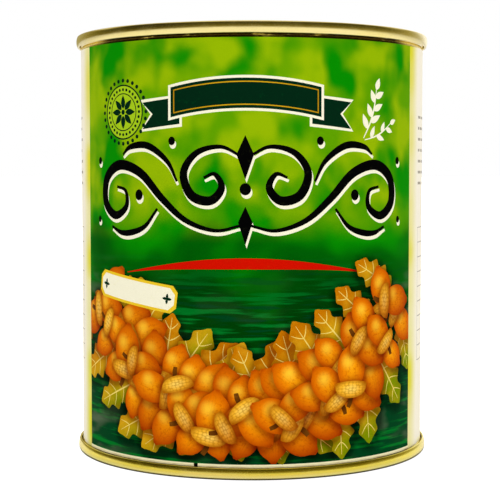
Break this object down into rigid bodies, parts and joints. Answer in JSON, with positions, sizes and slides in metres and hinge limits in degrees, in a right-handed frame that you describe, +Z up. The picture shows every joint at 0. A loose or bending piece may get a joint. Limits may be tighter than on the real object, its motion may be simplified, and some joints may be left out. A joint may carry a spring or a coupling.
{
  "type": "food can",
  "caption": "Closed round tinplate food can with double-seamed ends and a wrapped paper label, full of small chanterelles.",
  "frame": {"origin": "middle of the circle that the bottom seam stands on", "axes": "+Z up along the can's axis, -Y towards the front panel of the label, +X to the right of one who looks at the front"},
  "size_m": [0.1022, 0.1022, 0.1195],
  "materials": {
    "tinplate": "satin",
    "seam_compound": "matte",
    "label_paper": "satin",
    "chanterelle": "satin"
  },
  "bodies": {
    "root": {"can_body": "tinplate", "top_end": "tinplate", "bottom_end": "tinplate", "top_seal": "seam_compound", "bottom_seal": "seam_compound", "label": "label_paper", "chanterelle_01": "chanterelle", "chanterelle_02": "chanterelle", "chanterelle_03": "chanterelle", "chanterelle_04": "chanterelle", "chanterelle_05": "chanterelle", "chanterelle_06": "chanterelle", "chanterelle_07": "chanterelle", "chanterelle_08": "chanterelle", "chanterelle_09": "chanterelle", "chanterelle_10": "chanterelle", "chanterelle_11": "chanterelle", "chanterelle_12": "chanterelle", "chanterelle_13": "chanterelle", "chanterelle_14": "chanterelle", "chanterelle_15": "chanterelle", "chanterelle_16": "chanterelle", "chanterelle_17": "chanterelle", "chanterelle_18": "chanterelle", "chanterelle_19": "chanterelle", "chanterelle_20": "chanterelle", "chanterelle_21": "chanterelle", "chanterelle_22": "chanterelle", "chanterelle_23": "chanterelle", "chanterelle_24": "chanterelle", "chanterelle_25": "chanterelle", "chanterelle_26": "chanterelle", "chanterelle_27": "chanterelle", "chanterelle_28": "chanterelle", "chanterelle_29": "chanterelle", "chanterelle_30": "chanterelle", "chanterelle_31": "chanterelle", "chanterelle_32": "chanterelle", "chanterelle_33": "chanterelle", "chanterelle_34": "chanterelle", "chanterelle_35": "chanterelle", "chanterelle_36": "chanterelle", "chanterelle_37": "chanterelle", "chanterelle_38": "chanterelle"}
  },
  "joints": []
}
